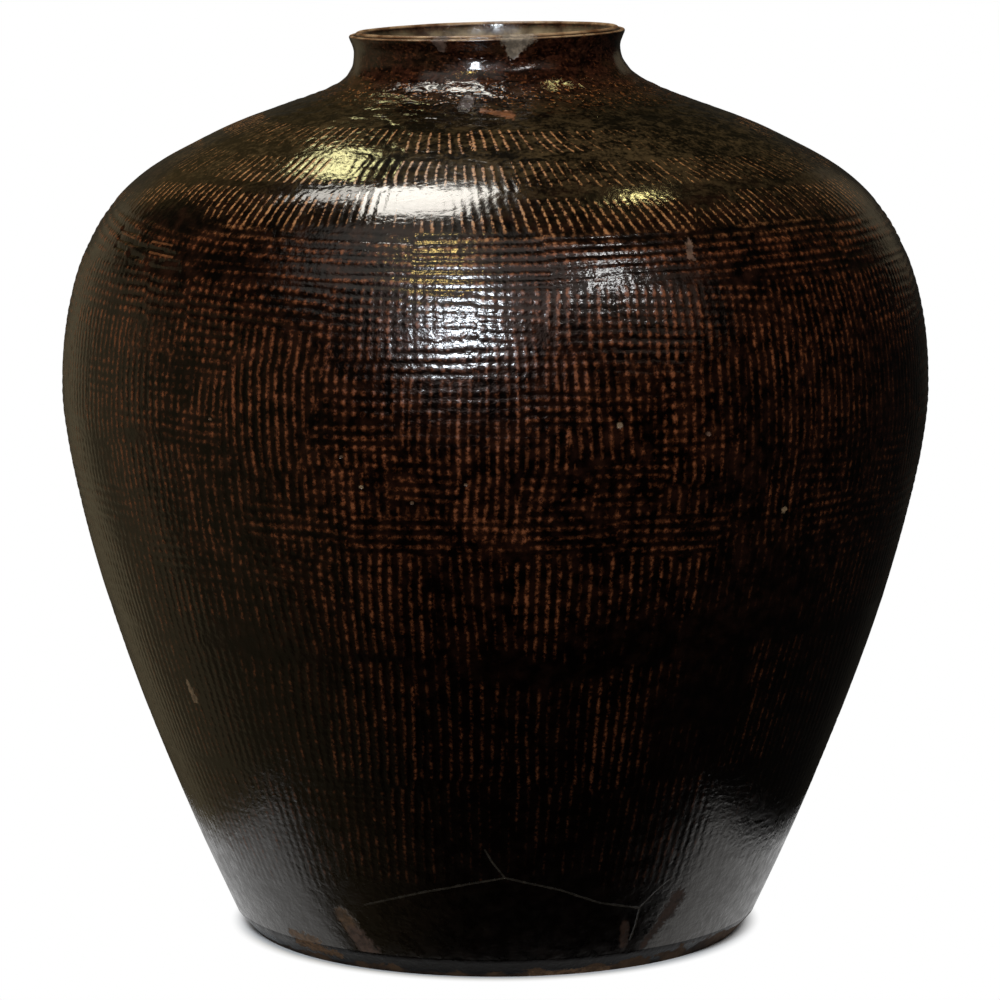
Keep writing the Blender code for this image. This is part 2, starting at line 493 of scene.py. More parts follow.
def rim_section(low):
    """The flared lip with its lower outer bead, groove and higher inner bead."""
    rows = row_count(outline.length - low, rim_row, 0)
    outer = [outline.point(along, 0.0) for along in np.linspace(low, outline.length, rows + 1)]
    outer_centre = Vector((lip_radius - outer_bead_radius, lip_height))
    spread = outer_bead_radius + lip_groove_width + inner_bead_radius
    inner_centre = outer_centre + Vector((-spread, inner_bead_rise))
    beads = bead(outer_centre, outer_bead_radius, 0.0, outer_bead_end, bead_rows)[1:]
    beads += bead(inner_centre, inner_bead_radius, inner_bead_start, math.pi, inner_bead_rows)
    inner_end = low - neck_lap + slip_gap
    inner = [outline.point(along, 1.0) for along in np.linspace(low, inner_end, rim_inner_rows)]
    return outer + beads + inner


def waves(bearing, along, seed, longest, shortest, count):
    """A smooth random field round the jar, about -1 to 1, from waves of these lengths."""
    rng = np.random.default_rng(seed)
    field = np.zeros_like(bearing)
    for length in np.geomspace(longest, shortest, count):
        heading = rng.uniform(0, math.pi)
        turns = round(math.tau * belly_radius / length * math.cos(heading))
        climb = math.tau * math.sin(heading) / length
        field += np.cos(turns * bearing + climb * along + rng.uniform(0, math.tau))
    return field / math.sqrt(2 * count)


def smooth(share):
    """A soft step from 0 to 1."""
    share = np.clip(share, 0.0, 1.0)
    return share * share * (3 - 2 * share)


def window(place, half_size, fade):
    """1 inside a stretch and 0 outside it, with soft ends."""
    return smooth((half_size - np.abs(place)) / fade + 0.5)


def blows(bearing, along, ring, pitch, level, seed):
    """One ring of paddle blows: the ridges they leave, where they land, how firm each one is, and
    how plainly each ridge shows through the glaze."""
    rng = np.random.default_rng(seed)
    low_along, high_along = outline.along_at(ring.low), outline.along_at(ring.high)
    middle, half = (low_along + high_along) / 2, (high_along - low_along) / 2
    count = round(math.tau * outline.radius_at((ring.low + ring.high) / 2) / ring.width)
    turn = bearing / math.tau * count + rng.random()
    wave = (along - middle) / ring.width * blow_edge_wave + blow_edge_turns * bearing
    edge = turn + blow_edge_sway * np.sin(wave)
    blow = np.floor(edge).astype(int) % count
    across = (turn - np.floor(edge) - 0.5) * ring.width
    to_side = (edge - np.floor(edge) - 0.5) * ring.width
    firm = np.clip(rng.normal(ring.firm, ring.spread, count), 0.0, 1.0)[blow]
    slant = rng.normal(0, level_slant if level else upright_slant, count)[blow]
    slant = slant + ring.lean * np.clip(lean_from_left + np.sin(bearing), 0.0, 1.0)
    upward = along - middle - rng.normal(0, half * blow_shift, count)[blow]
    spacing = pitch * rng.uniform(*pitch_range, count)[blow]
    start = rng.random(count)[blow]
    bend = rng.normal(0, blow_bend, count)[blow]
    jitter = ridge_jitter * waves(bearing, along, seed, *RIDGE_JITTER)
    if level:
        ridge = (upward + jitter + across * slant + bend * (across / ring.width) ** 2) / spacing + start
    else:
        ridge = (across + jitter + upward * slant + bend * (upward / half) ** 2) / spacing + start
    profile = 0.5 + 0.5 * np.cos(math.tau * ridge)
    landed = window(upward, half, blow_fade) * window(to_side, ring.width / 2, blow_side_fade)
    number = np.rint(ridge).astype(int) + tones_per_blow * blow
    tone = rng.uniform(*tone_range, ridge_tones)[number % ridge_tones]
    return profile, landed * firm, firm, tone


def upright_marks(bearing, along):
    """Upright ridges, 1 on top of a ridge and 0 in a groove or where nothing has struck, and their tones."""
    marks, tones = np.zeros_like(bearing), np.ones_like(bearing)
    for seed, ring in enumerate(UPRIGHT_RINGS, upright_seed):
        profile, landed, _, tone = blows(bearing, along, ring, ridge_pitch, False, seed)
        marks = marks * (1 - landed) + profile * landed
        tones = tones * (1 - landed) + tone * landed
    return marks, tones


def level_marks(bearing, along, height):
    """Level blows: what they leave of the ridges and of their glaze, and how far they rub the ridges out."""
    heavy = 1 - covered(LIGHT_HAND, bearing, height)
    left, bright = np.ones_like(bearing), np.ones_like(bearing)
    rubbed = np.zeros_like(bearing)
    for seed, ring in enumerate(LEVEL_RINGS, level_seed):
        profile, landed, firm, tone = blows(bearing, along, ring, groove_pitch, True, seed)
        landed = landed * heavy
        strong = smooth((firm - firm_from) / firm_over) * tone
        left = left * (1 - landed * (1 - profile))
        bright = bright * (1 - landed * (shallow_cut + (1 - shallow_cut) * strong) * (1 - profile))
        smear = ring.smear * (1 + firmer_right * np.sin(bearing))
        rubbed = np.maximum(rubbed, landed * smear * strong)
    return left, bright, rubbed


def long_grooves(bearing, along):
    """The few deep grooves that run right round below the shoulder."""
    depth = np.zeros_like(bearing)
    for number, height in enumerate(LONG_GROOVES):
        sway = long_groove_sway * waves(bearing, 0 * along, groove_sway_seed + number, *GROOVE_SWAY)
        course = outline.along_at(height) + sway
        change = waves(bearing, 0 * along, groove_firm_seed + number, *GROOVE_FIRMNESS)
        firm = np.clip(groove_firm_mean + groove_firm_change * change, 0.0, 1.0)
        depth = np.maximum(depth, firm * np.exp(-(((along - course) / long_groove_size) ** 2)))
    return depth


def short_slits(bearing, along):
    """How deep the slits are at each place, 1 along their middle and 0 beside them."""
    depth = np.zeros_like(bearing)
    turn = np.degrees(bearing)
    for (start, start_height), (end, end_height) in SLITS:
        share = np.clip((turn - start) / (end - start), 0.0, 1.0)
        course = outline.along_at(start_height + (end_height - start_height) * share)
        past_end = np.radians(turn - start - (end - start) * share) * belly_radius
        away = np.hypot(along - course, past_end) / slit_size
        depth = np.maximum(depth, np.exp(-(away**2)))
    return depth


def paddled(bearing, along, height):
    """What all the blows leave: the ridges, the crests that show rust, both 0 to 1, and the level
    grooves, 1 where they are full and more in the slits."""
    upright, tones = upright_marks(bearing, along)
    left, bright, rubbed = level_marks(bearing, along, height)
    slits = short_slits(bearing, along)
    long = (1 - long_grooves(bearing, along)) * (1 - slits)
    crest = tones * upright ** np.interp(height, *CREST_SHARPNESS)
    ridges = (1 - (1 - rubbed) * (1 - upright)) * left * long
    crests = (1 - (1 - rubbed) * (1 - crest)) * bright * long
    even = 1 - covered(THICK_RUNS, bearing, height)
    filled = ridges * (1 - run_fill + run_fill * even)
    return filled, crests * even, 1 - left * long + slit_extra_depth * slits


def covered(runs, bearing, height):
    """How far the nearest of these runs covers each place, with ragged edges."""
    cover = np.zeros_like(bearing)
    turn = np.degrees(bearing) + run_raggedness * waves(bearing, height, *RUN_EDGES)
    for run in runs:
        away = np.hypot((turn - run.bearing) / run.half_turn, (height - run.height) / run.half_height)
        cover = np.maximum(cover, run.share * smooth(run_edge - away))
    return cover


def thin_glaze(bearing, along, height, crests):
    """Where the glaze is thin enough to show the rust colour: on the crests, patch by patch."""
    patches = patch_mean + patch_depth * waves(bearing, along, *GLAZE_PATCHES)
    patches += thinner_left * np.cos(bearing - thinnest_bearing)
    wavering = height + zone_sway * waves(bearing, along, *ZONE_WAVES)
    zone = np.interp(wavering, THIN_HEIGHTS, THIN_VALUES)
    return np.clip(crests * zone * np.clip(patches, *patch_range), 0.0, 1.0)


def leaning(place):
    """Shift the neck a little to the left and tip the mouth up on the right."""
    blend = smooth((place[:, 2] - lean_start_height) / (waist_height - lean_start_height))
    place[:, 2] += math.tan(mouth_slope) * place[:, 0] * blend
    place[:, 0] -= neck_drift * blend
    return place


def turned(name, section, closed=True, steps=spin_steps, columns=columns_per_step):
    """Spin a section round the jar's axis into one closed ring, and note each vertex's row."""
    bm = bmesh.new()
    row = bm.verts.layers.float.new("row")
    verts = []
    for number, point in enumerate(section):
        vert = bm.verts.new((point.radius, 0.0, point.height))
        vert[row] = number
        verts.append(vert)
    pairs = list(zip(verts, verts[1:]))
    if closed:
        pairs.append((verts[-1], verts[0]))
    edges = [bm.edges.new(pair) for pair in pairs]
    bmesh.ops.spin(
        bm,
        geom=verts + edges,
        axis=(0.0, 0.0, 1.0),
        cent=(0.0, 0.0, 0.0),
        angle=math.tau,
        steps=steps,
        use_merge=True,
    )
    bmesh.ops.remove_doubles(bm, verts=bm.verts, dist=slip_gap / 10)
    around = [edge for edge in bm.edges if edge.verts[0][row] == edge.verts[1][row]]
    bmesh.ops.subdivide_edges(bm, edges=around, cuts=columns - 1, use_grid_fill=True)
    bmesh.ops.recalc_face_normals(bm, faces=bm.faces)
    mesh = bpy.data.meshes.new(name)
    bm.to_mesh(mesh)
    bm.free()
    return mesh


def read_rows(mesh, section):
    """Per vertex: bearing from the front, and the section's values for its row."""
    count = len(mesh.vertices)
    place = np.empty(count * 3, np.float32)
    mesh.vertices.foreach_get("co", place)
    place = place.reshape(-1, 3).astype(float)
    row = np.empty(count, np.float32)
    mesh.attributes["row"].data.foreach_get("value", row)
    mesh.attributes.remove(mesh.attributes["row"])
    values = np.array(section)[np.rint(row).astype(int)]
    bearing = np.arctan2(place[:, 0], -place[:, 1])
    return bearing, values


def paint(mesh, name, values):
    """Keep one value per vertex under this name, for the glaze to read."""
    layer = mesh.attributes.new(name, "FLOAT", "POINT")
    layer.data.foreach_set("value", values.astype(np.float32))


def relief_of(bearing, height, along, ridges, level):
    """How far the outer face lies outside the solid's outline: nothing, or less where it is sunk in."""
    rolling = swell_depth * waves(bearing, along, *SWELLS)
    dimples = dimple_depth * waves(bearing, along, *DIMPLES)
    in_band = np.interp(height, *IN_BAND)
    groove = groove_extra_depth + (band_groove_depth - groove_extra_depth) * in_band
    beaten = -blow_depth * (1 - ridges) - groove * level + rolling + dimples - skin_margin
    beaten *= np.interp(height, *BEATEN)
    lumps = lump_depth * waves(bearing, along * lump_flatness, *NECK_LUMPS) - lump_margin
    wavy = rim_wave * waves(bearing, 0 * along, *RIM_WAVES) - rim_sink
    calm = np.interp(height, *CALM_ENDS)
    lumpy = np.interp(height, *LUMPY)
    rim = np.interp(height, *AT_RIM)
    return np.minimum(beaten * calm + lumps * lumpy + wavy * rim, 0.0)


def skin(name, section, **spin):
    """Make one member: spin its section, sink the paddle marks into it and note its glaze."""
    mesh = turned(name, section, **spin)
    bearing, values = read_rows(mesh, section)
    radius, height, along, out, up, depth = values.T
    outside = depth == 0.0
    ridges, crests, level = paddled(bearing, along, height)
    wall = outside & (along > 0)
    ridges = np.where(wall, ridges, 0.0)
    anvil = anvil_depth * waves(bearing, along, *ANVIL_DENTS)
    relief = relief_of(bearing, height, along, ridges, level)
    relief = np.where(outside, relief, np.where(depth == 1.0, anvil, 0.0))
    radius = radius + out * relief
    height_now = height + up * relief
    place = np.stack([radius * np.sin(bearing), -radius * np.cos(bearing), height_now], 1)
    mesh.vertices.foreach_set("co", leaning(place).astype(np.float32).ravel())
    mesh.update()
    rolled = outside & (along == outline.length)
    paint(mesh, "thin", np.where(wall, thin_glaze(bearing, along, height, crests), 0.0))
    paint(mesh, "inside", np.where(outside, 0.0, 1.0))
    paint(mesh, "wear", np.where(rolled, smooth((up - wear_from) / wear_over), 0.0))
    mesh.shade_smooth()
    mesh.set_sharp_from_angle(angle=sharp_angle)
    piece = bpy.data.objects.new(name + "_skin", mesh)
    bpy.context.scene.collection.objects.link(piece)
    mesh.materials.append(MATERIALS[SLOTS[name]])
    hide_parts(name)
    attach(piece, "root")


class Tree:
    """Short calls that add and link shader nodes."""

    def __init__(self, tree):
        self.tree = tree

    def add(self, kind, values=None, **settings):
        node = self.tree.nodes.new("ShaderNode" + kind)
        for name, value in settings.items():
            setattr(node, name, value)
        for name, value in (values or {}).items():
            self.put(node.inputs[name], value)
        return node

    def put(self, socket, value):
        if isinstance(value, bpy.types.NodeSocket):
            self.tree.links.new(value, socket)
        else:
            socket.default_value = value

    def math(self, operation, *values, clamp=False):
        node = self.add("Math", dict(enumerate(values)), operation=operation, use_clamp=clamp)
        return node.outputs[0]

    def blend(self, share, first, second):
        node = self.add("Mix", data_type="FLOAT")
        for number, value in ((0, share), (2, first), (3, second)):
            self.put(node.inputs[number], value)
        return node.outputs[0]

    def vector(self, operation, *values):
        node = self.add("VectorMath", dict(enumerate(values)), operation=operation)
        return node.outputs["Value" if operation in ("DOT_PRODUCT", "LENGTH") else "Vector"]

    def scaled(self, value, low, high, low_to=0.0, high_to=1.0):
        node = self.add(
            "MapRange",
            {"Value": value, "From Min": low, "From Max": high, "To Min": low_to, "To Max": high_to},
            interpolation_type="SMOOTHSTEP",
        )
        return node.outputs["Result"]

    def mix(self, share, first, second):
        node = self.add("Mix", data_type="RGBA")
        for number, value in ((0, share), (6, first), (7, second)):
            self.put(node.inputs[number], value)
        return node.outputs[2]

    def noise(self, where, scale, detail=3.0, roughness=0.55, distortion=0.0):
        values = {"Vector": where, "Scale": scale, "Detail": detail}
        values.update({"Roughness": roughness, "Distortion": distortion})
        return self.add("TexNoise", values).outputs["Fac"]

    def ramp(self, share, stops):
        node = self.add("ValToRGB", {"Fac": share})
        ramp = node.color_ramp
        while len(ramp.elements) < len(stops):
            ramp.elements.new(0.5)
        for element, (place, colour) in zip(ramp.elements, stops):
            element.position = place
            element.color = (*colour, 1.0)
        return node.outputs["Color"]


def node_group(name, inputs, outputs):
    """An empty shader group with these sockets: the group, its nodes, its input and its output."""
    group = bpy.data.node_groups.new(name, "ShaderNodeTree")
    for label, kind, value in inputs:
        socket = group.interface.new_socket(name=label, in_out="INPUT", socket_type="NodeSocket" + kind)
        socket.default_value = value
    for label, kind in outputs:
        group.interface.new_socket(name=label, in_out="OUTPUT", socket_type="NodeSocket" + kind)
    given = group.nodes.new("NodeGroupInput")
    result = group.nodes.new("NodeGroupOutput")
    return group, Tree(group), given.outputs, result.inputs


# Colours of the glaze and the clay, as linear light
POOL_BLACK = (0.0009, 0.0004, 0.0003, 1.0)
POOL_BROWN = (0.0140, 0.0048, 0.0027, 1.0)
RUST_DARK = (0.042, 0.010, 0.004, 1.0)
RUST_BRIGHT = (0.178, 0.054, 0.018, 1.0)
RUST_TAN = (0.330, 0.152, 0.056, 1.0)
OLIVE_DARK = (0.0012, 0.0008, 0.0003, 1.0)
OLIVE = (0.040, 0.026, 0.0115, 1.0)
RUSSET_DARK = (0.0035, 0.0008, 0.0004, 1.0)
RUSSET = (0.032, 0.0095, 0.0048, 1.0)
SPECK_RED = (0.110, 0.034, 0.011, 1.0)
SPECK_ORANGE = (0.220, 0.088, 0.024, 1.0)
TAN = (0.120, 0.068, 0.036, 1.0)
# Bare clay of the heel: its own brown, darkened to paint the shade that falls on the heel
HEEL_TAN_WITH_PAINTED_SHADE = (0.062, 0.036, 0.020, 1.0)
CLAY_WITH_PAINTED_SHADE = (0.013, 0.008, 0.006, 1.0)
MOUTH_DARK = (0.040, 0.022, 0.012, 1.0)
MOUTH_PALE = (0.290, 0.220, 0.125, 1.0)
LIP_BROWN = (0.120, 0.050, 0.018, 1.0)
LIP_PALE = (0.270, 0.175, 0.095, 1.0)
WORN = (0.230, 0.180, 0.130, 1.0)
PINK_CLAY = (0.085, 0.050, 0.036, 1.0)
CRACK = (0.026, 0.021, 0.015, 1.0)
RUST_SMEAR = (0.130, 0.044, 0.012, 1.0)
CLAY_SMEAR = (0.100, 0.052, 0.032, 1.0)
RUST_LINE = (0.110, 0.040, 0.014, 1.0)
# A raised glaze blister on the crown: its pale lilac-grey colour paints the glint it catches
BLISTER_WITH_PAINTED_GLINT = (0.075, 0.062, 0.062, 1.0)
BROWN_SMEAR = (0.036, 0.017, 0.010, 1.0)

# Heights between which the glaze changes
BROWNER = (0.12, 0.38)
OLIVE_COMES = (0.480, 0.535)
BLOTS_FADE = (0.538, 0.554)
RUSSET_COMES = (0.553, 0.572)
RUST_PALES = (0.475, 0.497)
RUST_EVENS = (0.486, 0.494)
RUST_CLEARS = (0.480, 0.500)
COLLAR_TOP = (0.564, 0.574)
SPECKS_COME = (0.550, 0.562)
FOOT_DULL = (0.04, 0.20)
FOOT_PEEL = (0.05, 0.20)
BEADS_FADE = (0.485, 0.500)
WIPING_COMES = (0.522, 0.552)
WIPING_FADES = (0.566, 0.578)
bare_edge = 0.0015

# Depths of the glaze's own skin, in metres
FOOT_PEEL_DEPTH = (0.00030, 0.00010)
BEAD_DEPTH = (0.00026, 0.00007)
WIPING_DEPTH = (0.00017, 0.0008)
speck_height = 0.00010


def fired_glaze_group():
    """The glaze over the whole jar: black where it pools, rust where it is thin, olive on the shoulder."""
    group, tree, given, result = node_group(
        "fired_glaze",
        [("Thin", "Float", 0.0), ("Inside", "Float", 0.0), ("Wear", "Float", 0.0)],
        [("Color", "Color"), ("Roughness", "Float"), ("Height", "Float")],
    )
    where = tree.add("TexCoord").outputs["Object"]
    height = tree.add("SeparateXYZ", {"Vector": where}).outputs["Z"]
    flat = tree.vector("MULTIPLY", where, (1.0, 1.0, 1.8))
    large = tree.noise(where, 9.0, 4.0)
    middle = tree.noise(where, 55.0, 4.0, 0.6)
    fine = tree.noise(where, 400.0, 2.0, 0.6)
    blotch = tree.noise(flat, 330.0, 2.0, 0.6)
    uneven = tree.noise(where, 120.0, 2.0, 0.5)
    crinkle = tree.noise(tree.vector("MULTIPLY", where, (1.0, 1.0, 2.6)), 85.0, 2.6, 0.55, 0.8)

    # The body: black low down, browner up the belly, olive on the shoulder, russet at the neck
    brown = tree.scaled(height, *BROWNER, 0.15, 1.0)
    brown = tree.math("MULTIPLY", brown, tree.scaled(tree.math("ADD", middle, uneven), 0.78, 1.40))
    body = tree.mix(brown, POOL_BLACK, POOL_BROWN)
    grain = tree.math("MULTIPLY_ADD", crinkle, 0.5, tree.math("MULTIPLY", fine, 0.4))
    blots = tree.scaled(tree.math("MULTIPLY_ADD", large, 0.3, grain), 0.52, 0.74)
    blots = tree.math("MULTIPLY", blots, tree.scaled(height, *BLOTS_FADE, 1.0, 0.5))
    shade = tree.mix(blots, OLIVE_DARK, OLIVE)
    body = tree.mix(tree.scaled(height, *OLIVE_COMES), body, shade)
    russet = tree.scaled(middle, 0.3, 0.6, 0.5, 1.0)
    russet = tree.math("MULTIPLY", tree.scaled(height, *RUSSET_COMES), russet)
    body = tree.mix(russet, body, tree.mix(tree.scaled(grain, 0.36, 0.56), RUSSET_DARK, RUSSET))

    # Rust where the glaze is thin on the ridges
    pale = tree.scaled(fine, 0.3, 0.7)
    high_rust = tree.mix(pale, RUST_DARK, RUST_TAN)
    rust = tree.mix(pale, RUST_DARK, RUST_BRIGHT)
    rust = tree.mix(tree.scaled(height, *RUST_PALES), rust, high_rust)
    share = tree.math("MULTIPLY", given["Thin"], tree.scaled(middle, 0.2, 0.6, 0.78, 1.08))
    share = tree.math("MULTIPLY", share, tree.scaled(fine, 0.28, 0.64, 0.45, 1.2))
    least = tree.scaled(height, *RUST_EVENS, 0.62, 0.92)
    share = tree.math("MULTIPLY", share, tree.scaled(uneven, 0.34, 0.66, least, 1.18))
    share = tree.scaled(share, tree.scaled(height, *RUST_CLEARS, 0.10, 0.20), 1.0)
    colour = tree.mix(share, body, rust)

    # Specks on the crown and the neck
    low_neck = tree.scaled(height, *COLLAR_TOP, 1.0, 0.0)
    zone = tree.math("MULTIPLY", tree.scaled(height, *SPECKS_COME), tree.blend(low_neck, 0.45, 1.0))
    specks = tree.math("MULTIPLY", tree.scaled(blotch, 0.56, 0.70), zone)
    speck = tree.math("MULTIPLY", tree.scaled(fine, 0.35, 0.7), low_neck)
    colour = tree.mix(specks, colour, tree.mix(speck, SPECK_RED, SPECK_ORANGE))

    # Gloss, then the inside, the worn lip and the bare clay at the foot, darkened there with painted shade
    rough = tree.math("ADD", tree.scaled(large, 0.3, 0.75, 0.09, 0.16), tree.math("MULTIPLY", share, 0.24))
    dull = tree.scaled(uneven, 0.30, 0.70, 0.14, 0.26)
    rough = tree.math("MULTIPLY_ADD", tree.scaled(height, *FOOT_DULL, 1.0, 0.0), dull, rough)
    wide_bare = tree.scaled(large, 0.46, 0.62, 0.001, 0.008)
    bare = tree.math("ADD", wide_bare, tree.scaled(middle, 0.42, 0.7, 0.0005, 0.006))
    worn = tree.math("MULTIPLY", given["Wear"], tree.scaled(middle, 0.3, 0.6, 0.55, 1.0))
    unglazed = tree.scaled(tree.math("SUBTRACT", height, bare), 0.0, bare_edge, 1.0, 0.0)
    for mask, dark, pale, roughness in (
        (given["Inside"], MOUTH_DARK, MOUTH_PALE, 0.55),
        (worn, LIP_BROWN, LIP_PALE, 0.45),
        # bare clay of the heel, its colours darkened with painted shade
        (unglazed, CLAY_WITH_PAINTED_SHADE, HEEL_TAN_WITH_PAINTED_SHADE, 0.80),
    ):
        colour = tree.mix(mask, colour, tree.mix(tree.scaled(middle, 0.35, 0.65), dark, pale))
        rough = tree.blend(mask, rough, roughness)
    tree.put(result["Color"], colour)
    tree.put(result["Roughness"], rough)

    # The glaze's own skin: orange peel, beads, raised specks and wiped lines
    peel_depth = tree.scaled(height, *FOOT_PEEL, *FOOT_PEEL_DEPTH)
    peel = tree.math("MULTIPLY", tree.noise(where, 150.0, 2.6, 0.5), peel_depth)
    bead_depth = tree.scaled(height, *BEADS_FADE, *BEAD_DEPTH)
    beads = tree.math("MULTIPLY", tree.noise(where, 330.0, 2.0, 0.5), bead_depth)
    raised = tree.math("MULTIPLY", specks, speck_height)
    wiped = tree.math("MULTIPLY", crinkle, tree.scaled(height, *WIPING_COMES, *WIPING_DEPTH))
    wiped = tree.math("MULTIPLY", wiped, tree.scaled(height, *WIPING_FADES, 1.0, 0.25))
    total = tree.math("ADD", tree.math("ADD", peel, beads), tree.math("ADD", raised, wiped))
    tree.put(result["Height"], total)
    return group


def surface_mark_group():
    """Mask of one mark on the wall: a tapering stroke between two places, with a ragged edge."""
    group, tree, given, result = node_group(
        "surface_mark",
        [
            ("Start", "Vector", (0.0, 0.0, 0.0)),
            ("End", "Vector", (0.0, 0.0, 0.0)),
            ("Radius", "Float", 0.2),
            ("Start Width", "Float", 0.001),
            ("End Width", "Float", 0.001),
            ("Ragged", "Float", 0.3),
        ],
        [("Mask", "Float")],
    )
    where = tree.add("TexCoord").outputs["Object"]
    parts = tree.add("SeparateXYZ", {"Vector": where}).outputs
    bearing = tree.math("ARCTAN2", parts["X"], tree.math("MULTIPLY", parts["Y"], -1.0))
    here = tree.add("CombineXYZ", {"X": bearing, "Y": parts["Z"]}).outputs[0]
    metric = tree.add("CombineXYZ", {"X": given["Radius"], "Y": 1.0}).outputs[0]
    reach = tree.vector("MULTIPLY", tree.vector("SUBTRACT", here, given["Start"]), metric)
    span = tree.vector("MULTIPLY", tree.vector("SUBTRACT", given["End"], given["Start"]), metric)
    covered = tree.vector("DOT_PRODUCT", reach, span)
    covered = tree.math("DIVIDE", covered, tree.vector("DOT_PRODUCT", span, span), clamp=True)
    nearest = tree.vector("MULTIPLY", span, tree.add("CombineXYZ", {"X": covered, "Y": covered}).outputs[0])
    away = tree.vector("LENGTH", tree.vector("SUBTRACT", reach, nearest))
    width = tree.blend(covered, given["Start Width"], given["End Width"])
    edge = tree.math("SUBTRACT", tree.noise(where, 330.0, 3.0, 0.6), 0.5)
    edge = tree.math("MULTIPLY", edge, given["Ragged"])
    share = tree.math("ADD", tree.math("DIVIDE", away, width), tree.math("MULTIPLY", edge, 4.0))
    tree.put(result["Mask"], tree.scaled(share, 0.6, 1.2, 1.0, 0.0))
    return group


Mark = namedtuple("Mark", "start end start_width end_width ragged colour roughness depth")
chip_half_turn = 0.06
chip_depth = 0.0002
crack_depth = 0.0001
hairline = 0.0007
stain_share = 0.45


def chip(bearing, height, size, colour):
    """A small round flake out of the glaze."""
    left, right = bearing - chip_half_turn, bearing + chip_half_turn
    return Mark((left, height), (right, height), size, size, 0.5, colour, 0.5, chip_depth)


def crack_line(*places):
    """A fine crack through these places."""
    return [
        Mark(start, end, hairline, hairline, 0.35, CRACK, 0.5, crack_depth)
        for start, end in zip(places, places[1:])
    ]


def rusty_ridge(start, end):
    """A ridge beside one of the slits on the left, where the glaze is thin."""
    return Mark(start, end, hairline, hairline, 0.25, RUST_LINE, 0.3, 0.0)


# The worn place of the lip, which runs down on to the collar
LIP_WEAR = Mark((8.5, 0.6000), (7.5, 0.5885), 0.0150, 0.0040, 0.35, WORN, 0.55, 0.0003)

# Marks of use and firing by slot, one of them a blister with a painted glint: bearing in degrees from the
# front, + to the right, and height
MARKS = {
    "foot_glaze": [
        *crack_line(
            (-25.8, 0.0495), (-14.1, 0.0618), (-4.6, 0.0697), (1.7, 0.0742), (11.9, 0.0644), (20.1, 0.0529),
            (29.1, 0.0459), (31.6, 0.0556), (34.3, 0.0637),
        ),
        *crack_line((1.7, 0.0742), (-0.6, 0.0857), (-1.8, 0.0943)),
        *crack_line((29.1, 0.0459), (29.2, 0.0334), (28.8, 0.0226)),
        Mark((-31.6, 0.0395), (-30.4, 0.0330), 0.0062, 0.0072, 0.25, TAN, 0.6, 0.0003),
        Mark((-29.6, 0.0270), (-25.6, 0.0050), 0.0066, 0.0080, 0.4, PINK_CLAY, 0.6, 0.0),
        Mark((37.6, 0.0500), (36.4, 0.0390), 0.0066, 0.0060, 0.4, BROWN_SMEAR, 0.8, 0.0001),
        Mark((35.5, 0.0350), (32.5, 0.0180), 0.0040, 0.0030, 0.8, BROWN_SMEAR, 0.8, 0.0),
        Mark((26.6, 0.0350), (27.6, 0.0200), 0.0030, 0.0034, 0.4, BROWN_SMEAR, 0.5, 0.0),
        Mark((-48.5, 0.0175), (-41.5, 0.0150), 0.0026, 0.0050, 0.8, TAN, 0.7, 0.0002),
    ],
    "bare_clay": [
        Mark((-47.0, 0.0120), (-36.0, 0.0080), 0.0040, 0.0030, 0.8, TAN, 0.7, 0.0002),
        Mark((8.0, 0.0020), (26.0, 0.0020), 0.0020, 0.0025, 0.9, TAN, 0.7, 0.0002),
    ],
    "dark_glaze": [
        Mark((-52.9, 0.1900), (-52.3, 0.1800), 0.0022, 0.0034, 0.5, LIP_PALE, 0.6, 0.0001),
        Mark((27.8, 0.4807), (27.3, 0.4725), 0.0024, 0.0030, 0.8, CLAY_SMEAR, 0.5, 0.0),
        rusty_ridge((-56.2, 0.4730), (-50.9, 0.4725)),
        rusty_ridge((-55.6, 0.4667), (-49.7, 0.4656)),
        rusty_ridge((-66.9, 0.4745), (-61.4, 0.4731)),
    ],
    "rust_glaze": [
        chip(39.9, 0.312, 0.0022, LIP_PALE),
        chip(15.3, 0.3738, 0.0020, LIP_PALE),
        chip(27.1, 0.3655, 0.0016, CLAY_SMEAR),
        chip(-37.9, 0.3708, 0.0010, TAN),
        chip(-19.1, 0.3534, 0.0010, TAN),
        chip(-16.7, 0.3352, 0.0011, LIP_PALE),
        chip(-3.6, 0.3382, 0.0009, TAN),
        chip(-10.3, 0.3262, 0.0009, TAN),
    ],
    "olive_glaze": [
        # A raised glaze blister: a real bump, and its pale grey colour is a painted glint
        Mark((-9.4, 0.5594), (-8.9, 0.5590), 0.0048, 0.0048, 0.25, BLISTER_WITH_PAINTED_GLINT, 0.12, -0.0016),
        chip(-50.2, 0.479, 0.0022, TAN),
        Mark((-4.0, 0.5545), (4.5, 0.5518), 0.0012, 0.0022, 0.7, RUST_SMEAR, 0.3, 0.0),
    ],
    "neck_glaze": [LIP_WEAR],
    "worn_lip": [
        Mark((-22.7, 0.5970), (-22.0, 0.5915), 0.0060, 0.0030, 0.35, PINK_CLAY, 0.5, 0.0002),
        LIP_WEAR,
    ],
}


def lay_mark(tree, mark):
    """One mark's mask, drawn between its two places on the wall."""
    radius = float(outline.radius_at(mark.start[1]))
    node = tree.add("Group", node_tree=surface_mark)
    for name, (bearing, height) in (("Start", mark.start), ("End", mark.end)):
        tree.put(node.inputs[name], (math.radians(bearing), height, 0.0))
    for name, value in (
        ("Radius", radius),
        ("Start Width", mark.start_width),
        ("End Width", mark.end_width),
        ("Ragged", mark.ragged),
    ):
        tree.put(node.inputs[name], value)
    return node.outputs["Mask"]


